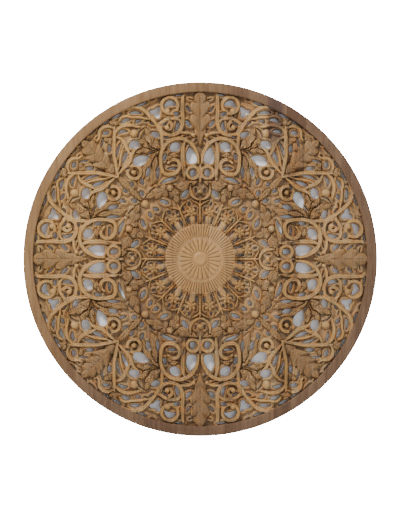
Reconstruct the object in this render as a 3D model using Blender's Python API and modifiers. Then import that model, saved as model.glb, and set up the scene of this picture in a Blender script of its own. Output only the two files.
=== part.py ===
"""Round pierced wall panel, carved from one blank of boards glued edge to edge.

The panel hangs flat on a wall: its back lies in the plane y = 0, its face looks along -Y and +Z is up.
The origin is the middle of the back. A plain turned band runs round the outside, a fluted dome sits in the
middle, and between them runs a field of stems and leaves that repeats eight times: the drawing describes the
slice from twelve o'clock to half past one, and mirrors make the rest.
"""
import math

import bmesh
import bpy
from mathutils import Vector
from mathutils.geometry import delaunay_2d_cdt, intersect_point_line

# Driving sizes, in metres
PANEL_DIAMETER = 0.900
RIM_WIDTH = 0.025
RIM_THICKNESS = 0.024
RIM_SLOPE = 0.001
MEDALLION_DIAMETER = 0.180
MEDALLION_EDGE_THICKNESS = 0.019
MEDALLION_CROWN = 0.006
BUTTON_DIAMETER = 0.032
BUTTON_HEIGHT = 0.002
MEDALLION_GROOVE = 0.003
INNER_FLUTES_DIAMETER = 0.110
FLUTE_DEPTH = 0.0025
MEDALLION_FLUTES = 16
EDGE_THICKNESS = 0.011
STEM_THICKNESS = 0.022
STEM_ROUNDING = 0.005
LEAF_THICKNESS = 0.019
LEAF_ROUNDING = 0.004
LOBE_DEPTH = 0.003
ROSETTE_THICKNESS = 0.020

RIM_SEGMENTS = 48
SLICES = 8
MERGE_DISTANCE = 0.00005

# The drawing is set out on a grid of units from the centre. The dome ends at 90 units, the field at 425
# units, and at the driving sizes above one unit is one millimetre.
DOME_UNITS = 90.0
FIELD_UNITS = 425.0
PANEL_RADIUS = PANEL_DIAMETER / 2
FIELD_RADIUS = PANEL_RADIUS - RIM_WIDTH
MEDALLION_RADIUS = MEDALLION_DIAMETER / 2
UNIT = (FIELD_RADIUS - MEDALLION_RADIUS) / (FIELD_UNITS - DOME_UNITS)


def place(x, z):
    """A point of the drawing in metres: radii run from the edge of the dome to the edge of the rim."""
    radius = math.hypot(x, z)
    real = MEDALLION_RADIUS + (radius - DOME_UNITS) * UNIT
    return Vector((x * real / radius, z * real / radius))


def to_drawing(spot):
    """The reverse of place: a point in metres on the grid of the drawing."""
    return spot.normalized() * (DOME_UNITS + (spot.length - MEDALLION_RADIUS) / UNIT)


def polar(degrees, radius):
    """A point of the drawing at an angle from twelve o'clock, clockwise."""
    angle = math.radians(degrees)
    return radius * math.sin(angle), radius * math.cos(angle)


def hole(x, z, length, width, turn, head=0.0, tail=0.0, taper=0.0, bend=0.0):
    """Outline of one opening: an oval about (x, z), turned by degrees from the horizontal.

    head and tail sharpen its two ends, or blunt them below zero. taper moves the belly towards the head,
    and bend lifts the middle of the length.
    """
    corners = 4 if width <= 8 or length <= 21 else 5 if length <= 29 else 6 if length <= 40 else 7
    cosine, sine = math.cos(math.radians(turn)), math.sin(math.radians(turn))
    outline = []
    for i in range(corners):
        angle = 2 * math.pi * i / corners
        along, across = math.cos(angle), math.sin(angle)
        sharp = 1 + (head if along > 0 else tail)
        across = math.copysign(abs(across) ** sharp, across) * (1 + taper * along)
        a = along * length / 2
        b = across * width / 2 + bend * (1 - along * along)
        outline.append(place(x + a * cosine - b * sine, z + a * sine + b * cosine))
    return outline


def star(x, z, radius, points, depth, turn):
    """Outline of an opening with hollow sides."""
    corners = points * 2
    outline = []
    for i in range(corners):
        angle = math.radians(turn) + 2 * math.pi * i / corners
        reach = radius * (1 + depth * math.cos(points * (angle - math.radians(turn))))
        outline.append(place(x + reach * math.cos(angle), z + reach * math.sin(angle)))
    return outline


def openings():
    """Every opening of one slice that shows from a step away."""
    cut = [
        hole(23.5, 265, 46, 27, 79, head=0.9, tail=-0.45, taper=-0.25),   # beside the axis
        hole(18.5, 219.5, 22, 17, 100),                                   # eye of the small ring
        hole(38.5, 166.5, 27, 15, -52, taper=0.1),                        # under the left wing
        hole(90.5, 260, 22, 12, 108, head=0.4),                           # between scroll and stem
        hole(80.5, 199.5, 46, 11, -21, head=0.6, tail=0.8, bend=2.5),     # over the wings
        hole(108, 222, 38, 10.5, 93, head=0.6, tail=0.3, taper=-0.15),    # right of the stem
        hole(132.5, 221.5, 30, 14, 102, head=0.1, tail=0.3),
        hole(148, 197.5, 23, 11, 72, head=0.2, tail=0.2),
        hole(148.5, 167.5, 18, 13, 65, head=0.1),
        hole(90.5, 145.5, 27, 13, 22, head=0.3, tail=0.1),
        hole(112.5, 127, 19, 12, 28),
        hole(64.5, 286, 31, 26, -35, head=0.1),                           # under the arch of the long stem
        hole(30, 346, 24, 13, 52, head=0.3, tail=0.1),                    # beside the axis leaf
        hole(29.5, 382, 22, 8.5, 52, head=0.2, tail=0.3),
        hole(76.5, 390, 34, 18, -14, taper=-0.1, bend=8),                 # in the top ring
        hole(61.5, 338, 30, 12, -78, head=0.3, tail=0.2, bend=-4),        # left of the ball
        hole(90.5, 346, 24, 8, -32, head=0.3, tail=0.3, bend=-1.5),
        star(113, 374.5, 12.5, 3, 0.32, 5),
        hole(114, 317.5, 27, 18, 20, head=0.2),
        hole(168, 292, 31, 24, -12, head=0.3, tail=-0.2),
        hole(149.5, 252.5, 47, 27, -22, head=-0.2, tail=0.9, taper=0.25),  # the widest one
        hole(53, 418, 28, 8, -8, head=0.3, tail=0.3),                     # along the rim
        hole(149, 395, 33, 10, -21, head=0.5, tail=0.2),
        hole(212, 364, 34, 11, -31, head=0.3, tail=0.9),
        hole(240, 349, 25, 10, -38, head=0.3, tail=0.3),
        hole(165, 371, 34, 11, 3, head=0.4, tail=0.4, bend=3),            # between the arching stems
        hole(190, 351, 30, 12, -18, head=0.7, tail=0.1, bend=3),
        hole(197, 321.5, 30, 11, -14, head=0.4, tail=0.4, bend=4),
        hole(240, 321.5, 20, 14, -10),
        hole(207.5, 277.5, 44, 9, -74, head=0.4, tail=0.4, bend=2.5),     # between the blades
        hole(193.5, 258, 38, 12, -69, head=0.9, tail=0.1, taper=-0.2, bend=-1),
        hole(231.5, 281, 24, 12, 88, head=0.1, tail=0.1),
        hole(249, 295.5, 30, 8, -78, head=0.2, tail=0.2, bend=1),
    ]
    for spoke in range(3):                                                # round the dome
        for side in (-1, 1):
            angle = 22.5 * spoke + 5.6 * side
            if 0 < angle < 45:
                cut.append(hole(*polar(angle, 103.5), 21, 7, 90 - angle + 6 * side))
    return cut


# Centre lines of the stems with their widths, on the grid of the drawing
STEMS = [
    (10, [(4, 243), (11, 278), (46, 307), (88, 292), (100, 250), (80, 215), (54, 235), (65, 253),
          (83, 242)]),                                                   # from the axis over into the scroll
    (12, [(41, 200), (43, 255), (38, 303)]),
    (12, [(42, 321), (45, 365), (42, 426)]),
    (9, [(17, 316), (42, 321), (78, 320)]),
    (9, [(47, 346), (70, 359), (114, 343)]),
    (10, [(98, 272), (98, 314), (123, 357), (165, 387), (205, 375)]),
    (9, [(219, 318), (203, 336), (176, 341), (152, 336)]),
    (7, [(207, 350), (188, 364), (163, 361), (128, 356)]),
    (11, [(206, 218), (179, 250), (160, 281)]),
    (11, [(176, 262), (191, 293), (214, 311)]),
    (7, [(209, 226), (202, 260), (192, 292)]),
    (10, [(208, 208), (215, 242), (219, 276), (218, 338)]),
    (10, [(220, 332), (247, 335), (257, 316), (262, 300)]),
    (9, [(24, 190), (23, 167), (11, 154), (0, 151)]),
    (12, [(0, 96), (0, 165), (0, 243)]),                       # up the axis to the first fork
    (12, [(86, 86), (150, 150), (212, 212)]),                # along the diagonal to the big leaf
]
# Rings as centre, radius to the middle of the band and width of the band
RINGS = [(18.5, 220, 15.5, 8), (77, 391, 21, 9), (168, 221, 17, 9)]
# Balls and buttons as centre and radius
BALLS = [(83, 376, 11), (82, 334, 14), (168, 320, 14), (77, 181, 12), (140.5, 140.5, 14)]
# Leaves as number of lobes on a side, spine and half widths along it
LEAVES = [
    (4, [(0, 288), (0, 330), (0, 370), (0, 426)], [3, 8, 20, 26, 26, 24, 10]),      # on the axis
    (4, [(212, 212), (240, 240), (270, 270), (302, 302)], [4, 12, 19, 26, 30, 20, 3]),  # on the diagonal
    (3, [(88, 176), (64, 178), (38, 187), (8, 198)], [4, 14, 15, 12, 3]),
    (3, [(68, 182), (95, 172), (118, 164), (138, 156)], [4, 15, 15, 12, 3]),
    (2, [(78, 184), (66, 166), (60, 152), (58, 140)], [4, 13, 14, 9, 2]),
    (2, [(150, 196), (144, 224), (130, 246), (104, 277)], [4, 9, 10, 9, 2]),
    (1, [(125, 188), (118, 206), (117, 228), (110, 262)], [4, 12, 9, 8, 2]),
    (2, [(100, 281), (130, 280), (165, 270)], [2, 9, 11, 8, 2]),
    (2, [(100, 281), (128, 292), (158, 302)], [2, 11, 13, 11, 2]),
    (2, [(100, 281), (122, 300), (140, 334)], [2, 11, 14, 11, 2]),
    (2, [(218, 318), (219, 338), (219, 362)], [4, 8, 15, 8]),
    (1, [(219, 288), (230, 300), (246, 306)], [3, 8, 8, 3]),
    (1, [(56, 262), (70, 263), (83, 252)], [3, 8, 8, 3]),
]
STEM_STEP = 48.0
SPINE_STEP = 62.0
LOBE_CREST = 0.55
ROSETTE_RADIUS_UNITS = 10.0
ROSETTE_ORBIT_UNITS = 123.0


def smooth(points, step):
    """Points a step apart on the smooth curve through the given ones."""
    listed = [Vector(point) for point in points]
    nodes = [2 * listed[0] - listed[1], *listed, 2 * listed[-1] - listed[-2]]
    curve = []
    for a, b, c, d in zip(nodes, nodes[1:], nodes[2:], nodes[3:]):
        count = max(1, round((c - b).length / step))
        for k in range(count):
            t = k / count
            curve.append(0.5 * (2 * b + (c - a) * t + (2 * a - 5 * b + 4 * c - d) * t * t
                                + (3 * b - a - 3 * c + d) * t ** 3))
    return curve + [nodes[-2]]


def ring_points(x, z, radius, corners):
    return [Vector((x + radius * math.cos(2 * math.pi * i / corners),
                    z + radius * math.sin(2 * math.pi * i / corners))) for i in range(corners)]


def half_width(widths, share):
    """Half width of a leaf at a share of its length, straight between the listed ones."""
    spot = share * (len(widths) - 1)
    low = min(int(spot), len(widths) - 2)
    return widths[low] + (widths[low + 1] - widths[low]) * (spot - low)


def nearest(line, point):
    """Distance from a point to a line of points, and how far along the line it is, as a share."""
    best, share = 1e9, 0.0
    for i, (a, b) in enumerate(zip(line, line[1:])):
        foot, t = intersect_point_line(point, a, b)
        t = min(max(t, 0.0), 1.0)
        distance = (point - (a + (b - a) * t)).length
        if distance < best:
            best, share = distance, (i + t) / (len(line) - 1)
    return best, share


def relief_lines():
    """The carving of one slice: stem and ring lines, balls, and leaves with their spines."""
    stems = [(width / 2, smooth(points, STEM_STEP)) for width, points in STEMS]
    for x, z, radius, width in RINGS:
        loop = ring_points(x, z, radius, 5)
        stems.append((width / 2, loop + loop[:1]))
    leaves = [(lobes, smooth(spine, SPINE_STEP), widths) for lobes, spine, widths in LEAVES]
    return stems, leaves


def thickness_at(point, stems, leaves):
    """Thickness of the wood at a point of the drawing, from the highest piece of carving over it."""
    height = EDGE_THICKNESS
    for half, line in stems:
        distance = nearest(line, point)[0] / half
        if distance < 1.15:
            height = max(height, STEM_THICKNESS - STEM_ROUNDING * min(distance, 1) ** 2)
    for lobes, spine, widths in leaves:
        distance, share = nearest(spine, point)
        across = distance / half_width(widths, share)
        if across < 1.1:
            ripple = 0.5 - 0.5 * math.cos(2 * math.pi * (lobes * share + 0.25 * across))
            height = max(height, LEAF_THICKNESS - LEAF_ROUNDING * across ** 2
                         - LOBE_DEPTH * ripple * min(1.0, 2 * across))
    for x, z, radius in BALLS:
        distance = (point - Vector((x, z))).length / radius
        if distance < 1:
            height = max(height, EDGE_THICKNESS
                         + (STEM_THICKNESS - EDGE_THICKNESS) * math.sqrt(1 - 0.7 * distance ** 2))
    for between in range(2):
        middle = Vector(polar(11.25 + 22.5 * between, ROSETTE_ORBIT_UNITS))
        distance = (point - middle).length / ROSETTE_RADIUS_UNITS
        if distance < 1.05:
            height = max(height, ROSETTE_THICKNESS - LEAF_ROUNDING * distance)
    radius, angle = point.length, math.degrees(math.atan2(point.x, point.y))
    if radius < ROSETTE_ORBIT_UNITS:
        spoke = abs((angle + 5.625) % 11.25 - 5.625) / 5.625
        height = max(height, LEAF_THICKNESS - LEAF_ROUNDING * spoke)
    return height


def inside(point, outline):
    """True where the point is inside the outline, by counting crossings."""
    odd = False
    for a, b in zip(outline, outline[1:] + outline[:1]):
        if (a.y > point.y) != (b.y > point.y) and point.x < (b.x - a.x) * (point.y - a.y) / (b.y - a.y) + a.x:
            odd = not odd
    return odd


def triangulate(points, edges, cut):
    """Triangles over one slice that keep the given edges and leave the openings free.

    The rim and the dome are solid, so an opening that reaches under one of them ends at its edge.
    """
    spots, _, faces, *_ = delaunay_2d_cdt(points, edges, [], 0, 1e-7)
    solid = []
    for face in faces:
        middle = sum((spots[i] for i in face), Vector((0, 0))) / len(face)
        in_slice = 0 < middle.x < middle.y and middle.length < PANEL_RADIUS
        whole = not MEDALLION_RADIUS < middle.length < FIELD_RADIUS
        if in_slice and (whole or not any(inside(middle, outline) for outline in cut)):
            solid.append(tuple(face))
    return spots, solid


def arc(radius, steps):
    """Points of one slice on a circle about the middle, from twelve o'clock to half past one."""
    turns = [math.pi / 4 * i / steps for i in range(steps + 1)]
    return [Vector((radius * math.sin(t), radius * math.cos(t))) for t in turns]


def medallion_circles():
    """Circles of the dome as radius, steps in a slice, thickness and depth of the flutes there."""
    button, petals, edge = BUTTON_DIAMETER / 2, INNER_FLUTES_DIAMETER / 2, MEDALLION_RADIUS
    flutes = 2 * MEDALLION_FLUTES // SLICES
    base = MEDALLION_EDGE_THICKNESS
    return [
        (edge, flutes, base - FLUTE_DEPTH, 0.0),
        (edge - MEDALLION_GROOVE, flutes, base, FLUTE_DEPTH),
        (petals + MEDALLION_GROOVE, flutes, base + 0.6 * MEDALLION_CROWN, FLUTE_DEPTH),
        (petals, flutes // 2, base + 0.2 * MEDALLION_CROWN, 0.0),
        (petals - 2 * MEDALLION_GROOVE, flutes, base + 0.75 * MEDALLION_CROWN, FLUTE_DEPTH),
        (button + MEDALLION_GROOVE, flutes // 2, base + MEDALLION_CROWN, 0.0),
        (button, flutes // 2, base + 0.5 * MEDALLION_CROWN, 0.0),
        (button - MEDALLION_GROOVE, flutes // 2, base + MEDALLION_CROWN, 0.0),
    ]


def carved_slice():
    """Mesh of one slice: carved face, flat back and the walls of its openings, open at the mirror planes."""
    stems, leaves = relief_lines()
    cut = openings()
    points, edges, levels = [], [], {}

    def add_loop(line, closed):
        first = len(points)
        points.extend(line)
        count = len(line) if closed else len(line) - 1
        edges.extend((first + i, first + (i + 1) % len(line)) for i in range(count))

    def fixed(spot, level):
        levels[(round(spot.x, 6), round(spot.y, 6))] = level

    rim_steps = RIM_SEGMENTS // SLICES
    for radius in (PANEL_RADIUS, FIELD_RADIUS + RIM_SLOPE, FIELD_RADIUS):
        add_loop(arc(radius, rim_steps), False)
    for radius, steps, level, depth in medallion_circles():
        circle = arc(radius, steps)
        add_loop(circle, False)
        for i, spot in enumerate(circle):
            fixed(spot, level - depth * (i % 2))
    points.append(Vector((0, 0)))
    fixed(points[-1], MEDALLION_EDGE_THICKNESS + MEDALLION_CROWN + BUTTON_HEIGHT)
    edges.append((len(points) - 1, 0))
    edges.append((len(points) - 1, rim_steps))
    for outline in cut:
        add_loop(outline, True)
        for spot in outline:
            if MEDALLION_RADIUS < spot.length < FIELD_RADIUS:
                fixed(spot, EDGE_THICKNESS)

    def free(spot):
        in_field = MEDALLION_RADIUS + MEDALLION_GROOVE < spot.length < FIELD_RADIUS - MEDALLION_GROOVE
        return 0 <= spot.x <= spot.y and in_field and not any(inside(spot, outline) for outline in cut)

    def add_line(line):
        previous = None
        for spot in (place(*point) for point in line):
            if not free(spot):
                previous = None
                continue
            points.append(spot)
            if previous is not None and free((spot + points[previous]) / 2):
                edges.append((previous, len(points) - 1))
            previous = len(points) - 1

    for _, line in stems:
        add_line(line)
    for lobes, spine, widths in leaves:
        add_line(spine)
        for i in range(lobes if lobes > 2 else 0):
            share = (i + 0.6) / lobes
            spot = share * (len(spine) - 1)
            low = min(int(spot), len(spine) - 2)
            middle = spine[low].lerp(spine[low + 1], spot - low)
            side = (spine[low + 1] - spine[low]).orthogonal().normalized()
            for sign in (-1, 1):
                add_line([middle + side * sign * LOBE_CREST * half_width(widths, share)])
    for x, z, radius in BALLS:
        add_line([Vector((x, z))])
    for between in range(2):
        add_line([Vector(polar(11.25 + 22.5 * between, ROSETTE_ORBIT_UNITS))])

    spots, front = triangulate(points, edges, cut)
    uses = {}
    for a, b, c in front:
        for edge in ((a, b), (b, c), (c, a)):
            uses.setdefault(frozenset(edge), []).append(edge)
    border = [pair[0] for pair in uses.values() if len(pair) == 1]
    number = {spot: k for k, spot in enumerate(sorted({i for edge in border for i in edge}))}
    flat_spots, back = triangulate([spots[i] for i in number], [(number[a], number[b]) for a, b in border], cut)

    mesh = bmesh.new()
    face_verts = []
    for spot in spots:
        level = levels.get((round(spot.x, 6), round(spot.y, 6)))
        if level is None and spot.length > FIELD_RADIUS + RIM_SLOPE / 2:
            level = RIM_THICKNESS
        if level is None:
            level = thickness_at(to_drawing(spot), stems, leaves)
        face_verts.append(mesh.verts.new((spot.x, -level, spot.y)))
    back_verts = [mesh.verts.new((spot.x, 0, spot.y)) for spot in flat_spots]
    for a, b, c in front:
        mesh.faces.new([face_verts[i] for i in (a, b, c)])
    for a, b, c in back:
        mesh.faces.new([back_verts[i] for i in (c, b, a)])
    for a, b in border:
        on_axis = abs(spots[a].x) + abs(spots[b].x) < MERGE_DISTANCE
        on_diagonal = abs(spots[a].x - spots[a].y) + abs(spots[b].x - spots[b].y) < MERGE_DISTANCE
        if not on_axis and not on_diagonal:
            mesh.faces.new([face_verts[b], face_verts[a], back_verts[number[a]], back_verts[number[b]]])
    bmesh.ops.delete(mesh, geom=[v for v in mesh.verts if not v.link_faces], context="VERTS")
    bmesh.ops.recalc_face_normals(mesh, faces=mesh.faces)
    data = bpy.data.meshes.new("carved_panel")
    mesh.to_mesh(data)
    mesh.free()
    return data


def add_object(name, data, collection):
    thing = bpy.data.objects.new(name, data)
    collection.objects.link(thing)
    return thing


def make_guide(name, data, collection):
    """An object that only shapes another one, shown as wire."""
    guide = add_object(name, data, collection)
    guide.hide_render = True
    guide.display_type = "WIRE"
    return guide


def wood():
    material = bpy.data.materials.new("carved_teak")
    material.use_nodes = True
    shader = material.node_tree.nodes["Principled BSDF"]
    shader.inputs["Base Color"].default_value = (0.42, 0.21, 0.08, 1)
    shader.inputs["Roughness"].default_value = 0.5
    shader.inputs["Metallic"].default_value = 0.0
    return material


def mirrored(panel, guides):
    """Mirrors that turn one slice into the whole field: across the diagonal, then left and right, up and down."""
    diagonal = make_guide("diagonal", None, guides)
    diagonal.rotation_euler = (0, math.radians(45), 0)
    for name, axis, across in (("diagonal", 0, diagonal), ("left and right", 0, None), ("up and down", 2, None)):
        mirror = panel.modifiers.new(name, "MIRROR")
        mirror.use_axis = [k == axis for k in range(3)]
        mirror.mirror_object = across
        mirror.merge_threshold = MERGE_DISTANCE


def build():
    for thing in list(bpy.data.objects):
        bpy.data.objects.remove(thing, do_unlink=True)
    scene = bpy.context.scene
    model = bpy.data.collections.new("carved_wall_panel")
    guides = bpy.data.collections.new("guides")
    scene.collection.children.link(model)
    scene.collection.children.link(guides)

    panel = add_object("carved_panel", carved_slice(), model)
    panel.data.materials.append(wood())
    mirrored(panel, guides)


build()
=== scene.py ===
# %% [markdown]
# # A round carved wall panel
# The real thing is a wooden disc about 90 cm across. It was glued up from upright boards, sawn through with
# a fretsaw, and then carved: stems, leaves and scrolls between a turned band outside and a fluted dome in
# the middle. The same drawing is cut eight times round, every second time mirrored.
# This notebook builds it in that order: the drawing, the sawn openings, the carved face, the eight copies,
# the turned parts, and at last the wood itself.

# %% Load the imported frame
import math

import bpy
import numpy as np
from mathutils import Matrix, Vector
from mathutils.geometry import delaunay_2d_cdt


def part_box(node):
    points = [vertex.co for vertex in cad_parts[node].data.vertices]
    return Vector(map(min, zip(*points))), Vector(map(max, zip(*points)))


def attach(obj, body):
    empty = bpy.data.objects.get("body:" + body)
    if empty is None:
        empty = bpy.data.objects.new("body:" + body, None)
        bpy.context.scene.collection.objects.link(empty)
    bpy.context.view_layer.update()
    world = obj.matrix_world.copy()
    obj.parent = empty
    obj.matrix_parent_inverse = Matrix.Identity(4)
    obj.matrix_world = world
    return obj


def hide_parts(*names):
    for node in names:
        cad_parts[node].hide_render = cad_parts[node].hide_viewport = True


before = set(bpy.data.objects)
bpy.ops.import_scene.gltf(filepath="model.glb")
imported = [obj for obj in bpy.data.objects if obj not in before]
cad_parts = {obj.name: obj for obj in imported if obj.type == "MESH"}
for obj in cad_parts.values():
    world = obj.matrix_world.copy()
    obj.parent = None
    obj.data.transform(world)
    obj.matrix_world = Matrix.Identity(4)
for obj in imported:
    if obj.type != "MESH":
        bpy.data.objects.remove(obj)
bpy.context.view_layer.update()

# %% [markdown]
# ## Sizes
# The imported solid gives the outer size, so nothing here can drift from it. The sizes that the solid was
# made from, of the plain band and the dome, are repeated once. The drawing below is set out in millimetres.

PANEL_NODE = "carved_panel"
low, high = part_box(PANEL_NODE)
PANEL_RADIUS = (high.x - low.x) / 2
DRAWING_RADIUS = 450.0
MM = PANEL_RADIUS / DRAWING_RADIUS         # one millimetre of the drawing
RIM_WIDTH = 25.0
RIM_THICKNESS = 24.0
FIELD_RADIUS = DRAWING_RADIUS - RIM_WIDTH
DOME_RADIUS = 90.0
print("panel radius", PANEL_RADIUS)

# %% [markdown]
# ## The camera
# The photograph looks straight at the middle of the panel. Its frame is 400 by 513 pixels and the panel's
# radius covers 177.2 of them, which fixes how much wall the frame takes in. A long lens from a few metres
# away keeps the view nearly flat, so the walls of the openings hardly show at the sides.

# %% Camera
FRAME_PIXELS = (400, 513)
PANEL_RADIUS_PIXELS = 177.2
PANEL_CENTRE_PIXELS = (200.18, 259.10)
CAMERA_DISTANCE = 3.4
metres_per_pixel = PANEL_RADIUS / PANEL_RADIUS_PIXELS
lens = bpy.data.cameras.new("photo_camera")
lens.sensor_fit = "VERTICAL"
lens.sensor_height = 36.0
lens.lens = lens.sensor_height * CAMERA_DISTANCE / (FRAME_PIXELS[1] * metres_per_pixel)
camera = bpy.data.objects.new("photo_camera", lens)
bpy.context.scene.collection.objects.link(camera)
camera.location = ((FRAME_PIXELS[0] / 2 - PANEL_CENTRE_PIXELS[0]) * metres_per_pixel,
                   -RIM_THICKNESS * MM - CAMERA_DISTANCE,
                   (PANEL_CENTRE_PIXELS[1] - FRAME_PIXELS[1] / 2) * metres_per_pixel)
camera.rotation_euler = (math.radians(90), 0, 0)
bpy.context.scene.camera = camera
print("lens", round(lens.lens, 1), "mm")

# %% [markdown]
# ## The drawing, 1: what is sawn away
# Every opening is a bent oval: a place, a length, a width and a turn, with ends that can be sharpened to a
# point or blunted. One short function draws them all, so an opening is one line to read or to change. They
# could also be Bezier curves set by hand, but ovals with named ends are quicker to adjust.

# %% One opening as an outline
SAW_STEP = 1.8                             # distance between the points of an outline
SAW_MARGIN = 1.1                           # the lip of wood that narrows an oval on every side
STAR_CORNERS = 36


def polar(degrees, radius):
    """A point of the drawing at an angle from twelve o'clock, clockwise."""
    return radius * math.sin(math.radians(degrees)), radius * math.cos(math.radians(degrees))


def opening(x, z, length, width, turn, head=0.0, tail=0.0, taper=0.0, bend=0.0):
    """head and tail sharpen the ends, taper moves the belly to the head, bend lifts the middle."""
    length, width = length - 2 * SAW_MARGIN, width - 2 * SAW_MARGIN
    count = max(10, int((length + width) * 1.6 / SAW_STEP))
    angle = 2 * np.pi * np.arange(count) / count
    along, across = np.cos(angle), np.sin(angle)
    sharp = 1 + np.where(along > 0, head, tail)
    across = np.sign(across) * np.abs(across) ** sharp * (1 + taper * along)
    a, b = along * length / 2, across * width / 2 + bend * (1 - along ** 2)
    c, s = math.cos(math.radians(turn)), math.sin(math.radians(turn))
    return np.stack([x + a * c - b * s, z + a * s + b * c], 1)


def star(x, z, radius, points, depth, turn):
    """An opening with hollow sides, where three stems meet."""
    angle = 2 * np.pi * np.arange(STAR_CORNERS) / STAR_CORNERS
    reach = radius * (1 + depth * np.cos(points * (angle - math.radians(turn))))
    return np.stack([x + reach * np.cos(angle), z + reach * np.sin(angle)], 1)


# %% [markdown]
# The list goes outwards from the dome. x runs right and z up from the middle of the panel, and all of them
# lie in the slice between twelve o'clock and half past one.

# %% Openings of one slice
OPENINGS = [
    opening(11.5, 173.5, 15, 6.5, 90), opening(38.5, 166.5, 27, 15, -52, taper=0.1),
    opening(90.5, 145.5, 27, 13, 22, 0.3, 0.1), opening(112.5, 127, 19, 12, 28),
    opening(148.5, 167.5, 18, 13, 65, 0.1), opening(122, 177.5, 21, 5, -40),
    opening(174, 190.5, 17, 12, 50, 0.2, 0.2), opening(80.5, 199.5, 46, 11, -21, 0.6, 0.8, bend=2.5),
    opening(148, 197.5, 23, 11, 72, 0.2, 0.2), opening(18.5, 219.5, 22, 17, 100),
    opening(108, 222, 38, 10.5, 93, 0.6, 0.3, -0.15), opening(132.5, 221.5, 30, 14, 102, 0.1, 0.3),
    opening(70, 231, 28, 9, -3, 0.4, 0.4), opening(183, 231, 16, 8, -25, 0.2, 0.2),
    opening(149.5, 252.5, 47, 27, -22, -0.2, 0.9, 0.25), opening(128, 269.5, 24, 6.5, -35, 0.3, 0.3),
    opening(193.5, 258, 38, 12, -69, 0.9, 0.1, -0.2, -1), opening(90.5, 260, 22, 12, 108, 0.4),
    opening(23.5, 265, 46, 27, 79, 0.9, -0.45, -0.25), opening(64.5, 286, 31, 26, -35, 0.1),
    opening(106.5, 279.5, 10, 5, -35), opening(207.5, 277.5, 44, 9, -74, 0.4, 0.4, bend=2.5),
    opening(231.5, 281, 24, 12, 88, 0.1, 0.1), opening(168, 292, 31, 24, -12, 0.3, -0.2),
    opening(249, 295.5, 30, 8, -78, 0.2, 0.2, bend=1), opening(11.5, 300.5, 12, 7, -52),
    opening(87, 310, 17, 9, -8, 0, 0.5), opening(36, 313, 17, 4, -14), opening(263, 308.5, 10, 5, -38),
    opening(114, 317.5, 27, 18, 20, 0.2), opening(150.5, 320.5, 32, 5, -58, 0.2, 0.2, bend=5),
    opening(197, 321.5, 30, 11, -14, 0.4, 0.4, bend=4), opening(240, 321.5, 20, 14, -10),
    opening(61.5, 338, 30, 12, -78, 0.3, 0.2, bend=-4), opening(90.5, 346, 24, 8, -32, 0.3, 0.3, bend=-1.5),
    opening(30, 346, 24, 13, 52, 0.3, 0.1), opening(123.5, 346, 16, 8, 32), opening(137, 352, 14, 4, -18),
    opening(158.5, 351, 19, 12, -28, 0.1, 0.1), opening(190, 351, 30, 12, -18, 0.7, 0.1, bend=3),
    opening(165, 371, 34, 11, 3, 0.4, 0.4, bend=3), opening(60, 370, 19, 13, 10), opening(83, 366, 8, 3, 0),
    star(113, 374.5, 12.5, 3, 0.32, 5), opening(29.5, 382, 22, 8.5, 52, 0.2, 0.3),
    opening(76.5, 390, 34, 18, -14, taper=-0.1, bend=8), opening(22, 407.5, 17, 4, 12, 0, 0.3, bend=-1.5),
]
ALONG_THE_RIM = [
    opening(53, 418, 28, 8, -8, 0.3, 0.3), opening(121, 407, 14, 5, -20),
    opening(149, 395, 33, 10, -21, 0.5, 0.2), opening(212, 364, 34, 11, -31, 0.3, 0.9),
    opening(240, 349, 25, 10, -38, 0.3, 0.3), opening(275, 323, 24, 6, -43), opening(293, 307, 12, 5, -45),
]
SPOKE_ANGLE = 22.5                         # sixteen spokes stand round the dome, one every 22.5 degrees
ROUND_THE_DOME = [opening(*polar(angle, 103.5), 21, 6.5, 90 - angle)
                  for angle in (5.6, 16.9, 28.1, 39.4)]
ROUND_THE_DOME += [opening(*polar(angle, 142.5), 13, 7.5, 90 - angle) for angle in (11.25, 33.75)]
ROUND_THE_DOME += [opening(*polar(angle, 127), 12, 7, 90 - angle) for angle in (5.5, 39.6)]
ROUND_THE_DOME += [opening(*polar(angle, 133), 12, 6, 90 - angle) for angle in (18.6, 26.4)]
OPENINGS += ALONG_THE_RIM + ROUND_THE_DOME
print(len(OPENINGS), "openings in a slice,", 8 * len(OPENINGS), "in the panel")

# %% [markdown]
# ## The drawing, 2: what stands up
# Stems are ropes of wood with a groove along the middle, drawn as a few points on a smooth line with a
# width and the height of their crest. Leaves have a spine and half widths along it. Rings and balls close
# the scrolls. Heights are in millimetres above the back.

# %% Smooth lines
LINE_STEP = 3.0


def smooth(points, step=LINE_STEP):
    """Points about a step apart on the curve that passes through the given ones."""
    listed = [np.array(p, float) for p in points]
    listed = [2 * listed[0] - listed[1], *listed, 2 * listed[-1] - listed[-2]]
    curve = []
    for a, b, c, d in zip(listed, listed[1:], listed[2:], listed[3:]):
        t = np.arange(0, 1, min(1, step / np.linalg.norm(c - b)))[:, None]
        curve.append(0.5 * (2 * b + (c - a) * t + (2 * a - 5 * b + 4 * c - d) * t ** 2
                            + (3 * b - a - 3 * c + d) * t ** 3))
    return np.concatenate(curve + [listed[-2][None]])


def ring(x, z, radius):
    angle = np.linspace(0, 2 * np.pi, 33)
    return np.stack([x + radius * np.cos(angle), z + radius * np.sin(angle)], 1)


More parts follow.
